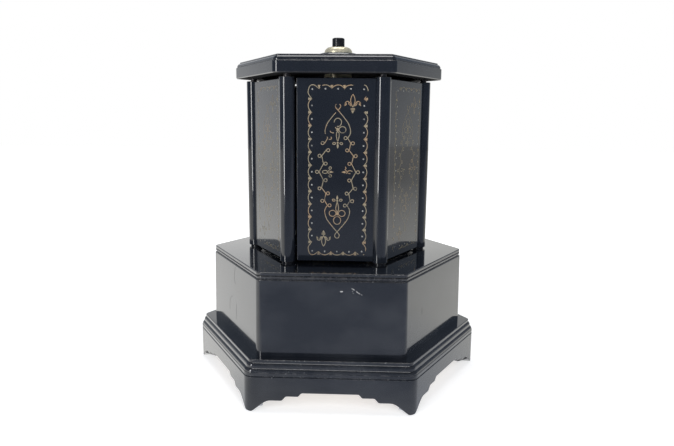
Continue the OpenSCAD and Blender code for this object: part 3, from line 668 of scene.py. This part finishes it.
# Lid, boss, bezel and button
def make_lid():
    z0, z4 = lid_low.z, lid_high.z
    z1 = z0 + LID_BAND
    z2 = z1 + LID_GROOVE
    z3 = z2 + LID_OVOLO * math.sin(math.radians(LID_TURN))
    a1 = LID_A - LID_BAND_BACK
    a2 = a1 - LID_OVOLO * (1 - math.cos(math.radians(LID_TURN))) - LID_STEP_BACK
    profile = soften([(LID_A - LID_EDGE, z0), (LID_A, z0 + LID_EDGE)]
                     + arc((LID_A - LID_EDGE, z1 - LID_EDGE), LID_EDGE, 0, 90, 5)
                     + [(a1 - LID_GROOVE_IN, z1), (a1 - LID_GROOVE_IN, z2), (a1, z2)]
                     + arc((a1 - LID_OVOLO, z2), LID_OVOLO, 15, LID_TURN, 8)
                     + [(a2, z3)]
                     + arc((a2 - LID_EDGE, z4 - LID_EDGE), LID_EDGE, 0, 90, 5), FINE_EDGE)
    obj = loft("lid_cap", profile, LID_CORNER)
    drill(obj, [(0, 0, TUBE_R + SEAT)], z0 - THROUGH, z4 + THROUGH)
    drill(obj, [(0, 0, PIVOT_R - LID_HOLLOW_IN)], z0 - THROUGH, z0 + LID_HOLLOW, 120)
    drill(obj, pivot_holes(PIN_R + RUNNING), z0 - THROUGH, pin_high.z + PIN_ROOM)
    dress(obj, door_black, "cabinet", "black_lacquer", "lid")
    return dull(obj, (0, 0, -1))


def make_boss():
    z0, z1 = boss_low.z, boss_high.z
    r0 = boss_high.x
    cove_h = z1 - z0 - BOSS_FOOT - BOSS_ROUND
    cove = []
    for i in range(9):
        x, y = polar(1, 11.25 * i)
        cove.append((r0 - (r0 - BOSS_TOP_R) * y, z0 + BOSS_FOOT + cove_h * (1 - x)))
    profile = soften([(TUBE_R + SEAT, z0), (r0, z0)] + cove
                     + arc((BOSS_TOP_R - BOSS_ROUND, z1 - BOSS_ROUND), BOSS_ROUND, 0, 90, 10)
                     + [(TUBE_R + SEAT, z1)])
    return dress(turned("lid_boss_turning", profile, 96), door_black, "cabinet", "black_lacquer", "lid_boss")


def make_bezel():
    z0, z1 = bezel_low.z, bezel_high.z
    r = bezel_high.x
    room = 0.3
    hole = button_high.x + room
    lip = 1.0
    rim = 0.4
    wide = r - hole - lip
    high = z1 - z0 - rim
    dome = [(hole + lip + wide * x, z0 + rim + high * y) for x, y in (polar(1, 7.5 * i) for i in range(13))]
    thread = tube_high.z
    profile = soften([(TUBE_R + SEAT, z0), (r, z0)] + dome
                     + [(hole, z1), (hole, thread), (TUBE_R + SEAT, thread)])
    return dress(turned("bezel_ring", profile, 96), pale_brass, "cabinet", "brass", "bezel_nut")


def make_button():
    z0, z1 = button_low.z, button_high.z
    r = button_high.x
    edge = 0.9
    profile = ([(ON_AXIS, z0), (r, z0)] + arc((r - edge, z1 - edge), edge, 0, 90, 8)
               + [(r / 2, z1), (ON_AXIS, z1)])
    return dress(turned("push_button", profile, 64), button_mat, "button", "black_button", "button_cap")


def make_spring():
    """Return spring, which is pressed together between its seat and the button"""
    obj = bpy.data.objects.new("button_spring", frame["nodes"]["return_spring"].data.copy())
    bpy.context.scene.collection.objects.link(obj)
    paint(obj, plain_steel)
    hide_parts("return_spring")
    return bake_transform(obj)


# Doors
def door_frame(k):
    """Door k's own frame: x from its pivot to its free edge, y outwards"""
    turn = Matrix.Rotation(math.radians(60 * k + 300), 4, "Z")
    back = Matrix.Rotation(math.radians(-120), 4, "Z")
    return turn @ Matrix.Translation((PIVOT_R, 0, 0)) @ back


def make_post(k, name):
    place = door_frame(k).translation
    z0, z1 = post_low.z, post_high.z
    edge = 0.35
    inner = PIN_R + SEAT
    profile = (arc((POST_R - edge, z0 + edge), edge, -90, 0, 4)
               + arc((POST_R - edge, z1 - edge), edge, 0, 90, 4)
               + [(inner, z1), (inner, z0)])
    obj = turned(name + "_post", profile, 64, (place.x, place.y))
    return dress(obj, door_black, name + "_door", "black_lacquer", name + "_door_post")


def make_panel(k, name):
    """Panel with eased edges, its root inside the post's slot"""
    place = door_frame(k)
    z0, z1 = panel_low.z, panel_high.z
    low = Vector((PIN_R + PANEL_ROOT, PANEL_OUT - PANEL_T, z0))
    high = Vector((PANEL_END, PANEL_OUT, z1))
    build = bmesh.new()
    bmesh.ops.create_cube(build, size=1)
    for v in build.verts:
        v.co = Vector(low[i] if v.co[i] < 0 else high[i] for i in range(3))
    bmesh.ops.bevel(build, geom=build.edges[:], offset=PANEL_EASE, segments=4, profile=0.5, affect="EDGES")
    verts = [place @ v.co for v in build.verts]
    faces = [tuple(v.index for v in f.verts) for f in build.faces]
    build.free()
    obj = to_object(name + "_panel", verts, faces)
    dress(obj, door_black, name + "_door", "black_lacquer", name + "_door_panel")
    return dull(obj, place.to_3x3() @ Vector((0, -1, 0)))


# Gold print, drawn in millimetres from the middle of the door: u to the right, v up
PRINT_W = 34.8
PRINT_H = 100.8
PRINT_X = 26.0
PRINT_Z = 137.0
LINE = 0.42
PROUD = 0.03
LOBES_HIGH = 11
LOBE_HIGH = 7.73
LOBES_WIDE = 3
LOBE_WIDE = 7.4
LOBE_DEEP = 2.15
# Places (u, v, radius) where the front door's print is rubbed away
WORN = ((12.0, 50.0, 3.0), (17.3, 45.3, 1.5), (17.4, 39.9, 1.4), (17.4, 36.6, 1.0), (-9.9, 49.8, 0.5),
 (-7.2, 21.3, 1.0), (-7.3, 14.9, 1.5), (-4.5, 26.2, 1.9), (-2.5, 27.4, 1.4),
        (-4.9, 20.2, 0.9), (-1.6, 23.6, 0.8), (-0.6, 35.3, 0.5), (4.6, -2.2, 1.1), (3.6, 2.3, 1.0),
        (8.6, -0.6, 0.8), (14.6, -50.2, 1.3), (17.2, -48.6, 0.7), (-17.2, -3.9, 0.6), (-11.6, -38.6, 1.0))


class Print:
    """Collects flat strokes and spots as thin closed solids on a face, broken where the print is worn"""

    def __init__(self, place, worn=()):
        self.place = place
        self.worn = worn
        self.verts = []
        self.faces = []
        self.pale = []

    def point(self, u, v, up):
        self.verts.append(self.place @ Vector((PRINT_X - u, PANEL_OUT + up, PRINT_Z + v)))

    def gone(self, u, v):
        return any(math.hypot(u - a, v - b) < r for a, b, r in self.worn)

    def stroke(self, points, closed=False, width=LINE):
        """A line of even width through the points, cut into runs between the worn places"""
        kept = [not self.gone(*p) for p in points]
        if all(kept):
            self.ribbon(points, closed, width)
            return
        if closed and any(kept):
            start = kept.index(False)
            points = points[start:] + points[:start]
            kept = kept[start:] + kept[:start]
        run = []
        for p, keep in zip(points, kept):
            if keep:
                run.append(p)
                continue
            if len(run) > 1:
                self.ribbon(run, False, width)
            run = []
        if len(run) > 1:
            self.ribbon(run, False, width)

    def ribbon(self, points, closed, width):
        count = len(points)
        first = len(self.verts)
        for i, p in enumerate(points):
            before = Vector(points[i - 1] if i or closed else p)
            after = Vector(points[(i + 1) % count] if i < count - 1 or closed else p)
            along = (after - before).normalized()
            side = Vector((-along.y, along.x)) * width / 2
            for sign, up in ((1, PROUD), (-1, PROUD), (-1, -PROUD), (1, -PROUD)):
                self.point(p[0] + sign * side.x, p[1] + sign * side.y, up)
        for i in range(count if closed else count - 1):
            a = first + 4 * i
            b = first + 4 * ((i + 1) % count)
            self.faces.extend((a + j, a + (j + 1) % 4, b + (j + 1) % 4, b + j) for j in range(4))
        if not closed:
            last = first + 4 * (count - 1)
            self.faces.append((first, first + 3, first + 2, first + 1))
            self.faces.append((last, last + 1, last + 2, last + 3))

    def spot(self, points, pale=False):
        """A filled shape with the points as its outline"""
        count = len(points)
        if self.gone(sum(p[0] for p in points) / count, sum(p[1] for p in points) / count):
            return
        first = len(self.verts)
        for up in (PROUD, -PROUD):
            for u, v in points:
                self.point(u, v, up)
        if pale:
            self.pale.append(len(self.faces))
        self.faces.append(tuple(first + i for i in range(count)))
        self.faces.append(tuple(first + count + i for i in range(count - 1, -1, -1)))
        for i in range(count):
            n = (i + 1) % count
            self.faces.append((first + i, first + count + i, first + count + n, first + n))


def oval(u, v, ru, rv, turn=0.0, steps=14):
    """Outline of an oval, turned about its middle"""
    spin = Matrix.Rotation(math.radians(turn), 2)
    points = [Vector((polar(ru, 360 * i / steps)[0], polar(rv, 360 * i / steps)[1])) for i in range(steps)]
    return [(u + (spin @ p).x, v + (spin @ p).y) for p in points]


def drop(u, v, wide, high, steps=16):
    """Outline of a drop with its point at (u, v), hanging down by high, or standing up if high is under 0"""
    points = []
    for i in range(steps):
        t = i / steps
        down = slope(2 * t) if t < 0.5 else slope(2 - 2 * t)
        swell = math.sin(2 * math.pi * t) * (0.35 + 0.65 * down)
        points.append((u + wide / 2 * swell, v - high * down))
    return points


def curve(points, steps=6):
    """Smooth line through a few points"""
    ends = [points[0]] + list(points) + [points[-1]]
    out = []
    for a, b, c, d in zip(ends, ends[1:], ends[2:], ends[3:]):
        a, b, c, d = (Vector(p) for p in (a, b, c, d))
        for i in range(steps):
            t = i / steps
            p = 0.5 * (2 * b + (c - a) * t + (2 * a - 5 * b + 4 * c - d) * t ** 2
                       + (3 * b - a - 3 * c + d) * t ** 3)
            out.append((p.x, p.y))
    out.append(tuple(points[-1]))
    return out


def border(ink):
    """Scalloped frame: lobes that bulge outwards, a leaf at each cusp and a dot in each lobe"""
    half_w, half_h = PRINT_W / 2, PRINT_H / 2
    in_w, in_h = half_w - LOBE_DEEP, half_h - LOBE_DEEP
    high = [LOBE_HIGH * (i - LOBES_HIGH / 2) for i in range(LOBES_HIGH + 1)]
    wide = [LOBE_WIDE * (i - LOBES_WIDE / 2) for i in range(LOBES_WIDE + 1)]
    cusps = [((in_w, v), (1, 0)) for v in high]
    cusps += [((-u, in_h), (0, 1)) for u in wide]
    cusps += [((-in_w, -v), (-1, 0)) for v in high]
    cusps += [((u, -in_h), (0, -1)) for u in wide]
    line = []
    for (p, out), (q, out_q) in zip(cusps, cusps[1:] + cusps[:1]):
        p, q = Vector(p), Vector(q)
        out, out_q = Vector(out), Vector(out_q)
        if out == out_q:
            dot = (p + q) / 2
            for i in range(12):
                t = i / 12
                line.append(p.lerp(q, t) + out * LOBE_DEEP * (1 - (2 * t - 1) ** 2) ** 0.75)
        else:
            far = p + out * LOBE_DEEP
            end = q + out_q * LOBE_DEEP
            tip = Vector((far.x if out.x else end.x, end.y if out.x else far.y))
            dot = tip - (out + out_q) * 2.4
            rise, run = (4.6, 3.2) if out.x else (3.2, 4.6)
            bow = [p, tip - out_q * rise, tip - (out + out_q) * 0.85, tip - out * run, q]
            line.extend(Vector(c) for c in curve(bow, 6)[:-1])
        ink.spot(oval(dot.x, dot.y, 0.48, 0.48), True)
        side = Vector((-out.y, out.x))
        leaf = [p + out * 2.1 + side * 0.85, p + out * 1.0 + side * 0.4, p - out * 0.15,
                p + out * 1.0 - side * 0.4, p + out * 2.1 - side * 0.85]
        ink.spot([(c.x, c.y) for c in leaf])
    ink.stroke([(c.x, c.y) for c in line], True)


ZIGZAG = ((5.85, 20.0), (7.65, 17.0), (6.85, 12.8), (9.4, 9.5), (8.3, 4.9), (10.9, 0.0))
OGEE = ((5.85, 20.0), (7.3, 22.4), (7.35, 25.0), (6.2, 28.3), (4.1, 31.3), (1.6, 34.3), (0.0, 36.1))
OPEN_LOOP = ((0.0, 36.1), (-1.2, 37.4), (-1.55, 38.3), (-1.4, 39.0), (-0.95, 39.5))
CLOSED_LOOP = ((0.0, 36.1), (-1.15, 37.6), (-1.35, 38.7), (-0.8, 39.7), (0.0, 40.0))
RING_AWAY = 1.25
RING_R = 0.92


def half_figure(ink, up):
    """Upper or lower half of the middle figure: an ogee, zigzag sides with curls, and a trefoil inside"""
    loop = OPEN_LOOP if up > 0 else CLOSED_LOOP
    for side in (-1, 1):
        ink.stroke([(side * u, up * v) for u, v in curve(OGEE + loop[1:])])
        for start, end in zip(ZIGZAG, ZIGZAG[1:]):
            run = [Vector(start).lerp(Vector(end), i / 6) for i in range(7)]
            ink.stroke([(side * p.x, up * p.y) for p in run])
        for i, (u, v) in enumerate(ZIGZAG):
            out = 1 if i % 2 else -1
            if up < 0 and i == len(ZIGZAG) - 1:
                continue
            sag = 0.35 if up < 0 and out > 0 else 0.0
            ink.stroke(oval(side * (u + out * RING_AWAY), up * (v + sag), RING_R, RING_R), True)
        ink.stroke(oval(side * 2.75, up * 24.8, 2.05, 1.85), True)
        ink.stroke(oval(side * 2.1, up * 16.8, 0.85, 0.6, side * up * -15), True)
    ink.stroke(oval(0, up * 29.1, 2.2, 2.4), True)
    ink.spot([(0, up * 23.7), (0.85, up * 24.9), (0, up * 26.2), (-0.85, up * 24.9)])
    ink.stroke(drop(0, up * 18.1, 2.3, -up * 5.6), True)
    ink.spot(drop(0, up * 13.9, 1.6, -up * 2.6))
    ink.spot(oval(0, up * 17.2, 0.6, 0.55))


def middle_sprig(ink, side):
    """Small sideways sprig beside the middle of the figure"""
    ink.stroke(oval(side * 7.4, 0, 1.55, 0.9), True)
    for up in (-1, 1):
        ink.stroke(oval(side * 4.3, up * 2.35, 0.75, 0.75), True)
        ink.stroke([(side * (5.9 - 0.35 * i), up * (0.1 + 0.35 * i)) for i in range(5)])
    ink.spot([(side * 5.2, 0), (side * 4.2, 0.65), (side * 2.2, 0), (side * 4.2, -0.65)])


def lily(ink, u, v, up, size):
    """Three-petalled lily, upright or turned over"""
    def place(points, side=1):
        return [(u + up * size * side * a, v + up * size * b) for a, b in points]

    outline = curve([(0, 5.6), (0.85, 4.2), (1.3, 2.1), (0.8, 0.0), (0, -1.8)], 5)
    ink.stroke(place(outline + [(-a, b) for a, b in outline[-2:0:-1]]), True)
    for side in (-1, 1):
        ink.stroke(place(curve([(0.9, -1.2), (1.8, 0.7), (3.0, 1.55), (4.2, 0.9), (4.65, -0.5)], 5), side))
        ink.stroke(place(curve([(0.9, -1.2), (2.2, -0.2), (2.5, 0.9)], 4), side))
        ink.spot(place([(4.7, 0.2), (4.75, -1.2), (3.7, -0.5), (3.5, 0.3), (4.0, 0.5)], side))
    for low in (-2.3, -3.0):
        ink.spot(place([(-1.35, low), (1.35, low), (1.2, low - 0.4), (-1.2, low - 0.4)]))
    ink.spot(place([(-1.05, -3.7), (1.05, -3.7), (0, -5.4)]))


def make_print(k, name):
    turn_u = 1 if k % 2 == 0 else -1
    turn_v = 1 if k % 3 == 0 else -1
    ink = Print(door_frame(k), [(turn_u * u, turn_v * v, r) for u, v, r in WORN])
    border(ink)
    for up in (1, -1):
        half_figure(ink, up)
        middle_sprig(ink, up)
    lily(ink, 8.6, 39.6, 1, 1.0)
    lily(ink, -8.1, -40.0, -1, 0.9)
    obj = to_object(name + "_print", ink.verts, ink.faces)
    # Doors other than the front take the darker copy of the print, which is painted shade
    dress(obj, gold if k == 0 else shaded_gold, name + "_door", "brass")
    obj.data.materials.append(pale_print if k == 0 else shaded_pale)
    for face in ink.pale:
        obj.data.polygons[face].material_index = 1
    return obj


# Wear on the box: flecks of bare wood and dark cracks, by distance along a face and height
FRONT_TURN, LEFT_TURN, RIGHT_TURN = -90, -150, -30
FLECK_LINES = (((11.5, 72.4), (12.3, 72.1), (13.2, 71.5)), ((14.2, 70.7), (15.3, 70.0), (16.4, 69.2)))
FLECK_SPOTS = ((5.8, 70.5, 0.9), (12.0, 70.8, 0.2), (12.5, 69.6, 0.2), (17.4, 68.8, 0.25))
LEFT_CRACKS = (((3.0, 75.4), (2.0, 72.8), (1.3, 70.4), (1.3, 66.3), (2.8, 64.1)),
               ((-2.3, 54.7), (-5.5, 53.6), (-8.0, 51.0), (-8.8, 48.2), (-8.9, 44.0)),
               ((4.7, 51.3), (4.6, 46.0), (4.5, 41.0)))
RIGHT_CRACKS = (((-20.5, 55.5), (-20.3, 51.7)),)
FLECK_W = 0.32
SPOT_HIGH = 0.4
CRACK_W = 0.18


def box_face(turn):
    """Frame in which Print draws on the box's face that looks out at an angle"""
    lean = BOX_DRAFT / (box_high.z - BOX_ROUND - box_low.z)
    out = Vector((*polar(1, turn), 0))
    along = Vector((*polar(1, turn + 90), 0))
    face = Matrix((-along, out, Vector((0, 0, 1)) - out * lean)).transposed().to_4x4()
    face.translation = out * (BOX_A + lean * box_low.z)
    return face @ Matrix.Translation((-PRINT_X, -PANEL_OUT, -PRINT_Z))


def make_wear():
    fleck = Print(box_face(FRONT_TURN))
    for line in FLECK_LINES:
        fleck.stroke(curve(line), False, FLECK_W)
    for u, v, r in FLECK_SPOTS:
        fleck.spot(oval(u, v, r, min(r, SPOT_HIGH)))
    dress(to_object("box_flecks", fleck.verts, fleck.faces), bare_fleck, "cabinet", "black_lacquer")
    for side, turn, lines in (("left", LEFT_TURN, LEFT_CRACKS), ("right", RIGHT_TURN, RIGHT_CRACKS)):
        crack = Print(box_face(turn))
        for line in lines:
            crack.stroke(curve(line), False, CRACK_W)
        obj = to_object("box_cracks_" + side, crack.verts, crack.faces)
        dress(obj, dark_crack, "cabinet", "black_lacquer")


make_plinth()
make_box()
make_wear()
make_deck()
make_lid()
make_boss()
make_bezel()
make_button()
make_spring()
for number, door in enumerate(DOORS):
    make_post(number, door)
    make_panel(number, door)
    make_print(number, door)

# Finish of the pieces that keep their CAD shape
INNER = {
    aged_brass: ("tube_flange", "centre_tube", "winding_key", "bottom_screws"),
    # The collar is brass, but giving it the paler, more diffuse brass of the bezel is painted highlight: it
    # brightens the collar in the shaded gap under the lid
    pale_brass: ("lid_collar",),
    button_mat: ("door_washers",),
    inner_brass: ("rod_guides", "movement_frame", "comb_screws", "drive_gear", "spring_barrel",
                  "music_cylinder"),
    plain_steel: ("flange_screws", "retaining_collar", "movement_screws", "comb", "push_rod", "cross_pin",
                  "stop_pin", "governor_fan"),
    blue_spring: ("mainspring",),
    wood: ("bottom_panel",),
}
for finish, names in INNER.items():
    for node in names:
        paint(frame["nodes"][node], finish)
for door in DOORS:
    for piece, finish in (("rack", aged_brass), ("pinion", inner_brass), ("pivot_pin", dark_pin)):
        paint(frame["nodes"][door + "_" + piece], finish)

# Floor, light and camera
FLOOR_HALF = 3.0
bpy.ops.mesh.primitive_plane_add(size=2 * FLOOR_HALF)
floor = bpy.context.object
floor.name = "floor"


def straight_rays(tree):
    """1 for rays from the camera, also behind clear pieces"""
    rays = add(tree, "ShaderNodeLightPath").outputs
    return math_node(tree, "MAXIMUM", rays["Is Camera Ray"], rays["Is Transmission Ray"])


def floor_material():
    """White floor that keeps the shadow, dimmer in reflections in front of the object"""
    mat = bpy.data.materials.new("floor")
    mat.use_nodes = True
    tree = mat.node_tree
    tree.nodes.clear()
    out = add(tree, "ShaderNodeOutputMaterial")
    rays = add(tree, "ShaderNodeLightPath")
    place = add(tree, "ShaderNodeSeparateXYZ")
    tree.links.new(object_coords(tree), place.inputs[0])
    pale = add(tree, "ShaderNodeBsdfDiffuse", Color=(0.8, 0.8, 0.8, 1))
    away = add(tree, "ShaderNodeVectorMath", operation="LENGTH")
    tree.links.new(object_coords(tree), away.inputs[0])
    glow = add(tree, "ShaderNodeEmission")
    beyond = ramp(tree, away.outputs["Value"], 0.15, 0.45, 0.0, 0.4)
    backdrop = math_node(tree, "MULTIPLY", straight_rays(tree), beyond)
    tree.links.new(math_node(tree, "ADD", backdrop, 0.6), glow.inputs["Strength"])
    seen = add(tree, "ShaderNodeAddShader")
    tree.links.new(pale.outputs[0], seen.inputs[0])
    tree.links.new(glow.outputs[0], seen.inputs[1])
    mirrored = add(tree, "ShaderNodeEmission")
    x, y = place.outputs["X"], place.outputs["Y"]
    right = mix(tree, ramp(tree, away.outputs["Value"], 0.3, 1.3), (0.80, 0.80, 0.77), (0.33, 0.33, 0.32))
    left = mix(tree, ramp(tree, away.outputs["Value"], 0.3, 1.3), (1.0, 1.0, 0.98), (0.72, 0.72, 0.70))
    behind = mix(tree, ramp(tree, x, -0.1, 0.1), left, right)
    front = mix(tree, ramp(tree, y, -1.3, -0.25), (0.10, 0.12, 0.16), (0.33, 0.37, 0.46))
    leftward = math_node(tree, "MAXIMUM", math_node(tree, "MULTIPLY", x, -1.0), 0.0)
    leftward = math_node(tree, "MULTIPLY", leftward, 0.9)
    tone = mix(tree, ramp(tree, math_node(tree, "ADD", y, leftward), -0.13, 0.05), front, behind)
    tree.links.new(tone, mirrored.inputs["Color"])
    both = add(tree, "ShaderNodeMixShader")
    tree.links.new(rays.outputs["Is Glossy Ray"], both.inputs[0])
    tree.links.new(seen.outputs[0], both.inputs[1])
    tree.links.new(mirrored.outputs[0], both.inputs[2])
    tree.links.new(both.outputs[0], out.inputs["Surface"])
    return mat


floor.data.materials.append(floor_material())


def make_world():
    """White background; reflections are bright low behind, more so on the left, and dim elsewhere"""
    world = bpy.data.worlds.new("studio")
    bpy.context.scene.world = world
    world.use_nodes = True
    tree = world.node_tree
    tree.nodes.clear()
    out = add(tree, "ShaderNodeOutputWorld")
    way = add(tree, "ShaderNodeSeparateXYZ")
    tree.links.new(add(tree, "ShaderNodeTexCoord").outputs["Generated"], way.inputs[0])
    x, y, z = way.outputs
    low = math_node(tree, "SUBTRACT", y, z)
    behind = mix(tree, ramp(tree, x, -0.25, 0.25), (0.97, 0.97, 0.96), (0.72, 0.72, 0.69))
    tone = mix(tree, ramp(tree, low, 0.28, 0.83), (0.12, 0.15, 0.20), behind)
    around = add(tree, "ShaderNodeBackground")
    tree.links.new(tone, around.inputs["Color"])
    tree.links.new(ramp(tree, z, 0.45, 0.9, 1.0, 0.35), around.inputs["Strength"])
    seen = add(tree, "ShaderNodeBackground", Color=(1, 1, 1, 1), Strength=1.0)
    both = add(tree, "ShaderNodeMixShader")
    tree.links.new(straight_rays(tree), both.inputs[0])
    tree.links.new(around.outputs[0], both.inputs[1])
    tree.links.new(seen.outputs[0], both.inputs[2])
    tree.links.new(both.outputs[0], out.inputs["Surface"])


make_world()


def lamp(name, place, target, size, watts):
    """Soft rectangular lamp that looks at a point, in metres"""
    light = bpy.data.lights.new(name, "AREA")
    light.shape = "RECTANGLE"
    light.size, light.size_y = size
    light.energy = watts
    obj = bpy.data.objects.new(name, light)
    obj.location = place
    obj.rotation_euler = (Vector(target) - Vector(place)).to_track_quat("-Z", "Y").to_euler()
    bpy.context.scene.collection.objects.link(obj)
    return obj


MIDDLE = (0.0, 0.0, 0.11)
lamp("window", (-0.62, -0.74, 0.36), (0, 0, 0.36), (0.15, 0.70), 3.0)
lamp("top", (0.0, 0.1, 1.1), MIDDLE, (0.8, 0.6), 5.0)
lamp("front", (0.3, -1.3, 0.75), MIDDLE, (0.9, 0.9), 10.0).visible_glossy = False

PHOTO_W = 674
FOCAL_PX = 594.0
SENSOR = 36.0
camera = bpy.data.objects.new("camera", bpy.data.cameras.new("camera"))
camera.data.sensor_width = SENSOR
camera.data.lens = FOCAL_PX / PHOTO_W * SENSOR
CAMERA_PLACE = (0.01541, -0.40270, 0.16751)
CAMERA_PAN = 2.186
CAMERA_DOWN = 9.852
CAMERA_ROLL = 0.476
pan = Matrix.Rotation(math.radians(CAMERA_PAN), 4, "Z")
tilt = Matrix.Rotation(math.radians(90 - CAMERA_DOWN), 4, "X")
roll = Matrix.Rotation(math.radians(CAMERA_ROLL), 4, "Z")
camera.matrix_world = Matrix.Translation(CAMERA_PLACE) @ pan @ tilt @ roll
bpy.context.scene.collection.objects.link(camera)
bpy.context.scene.camera = camera
bpy.context.scene.view_settings.view_transform = "Standard"
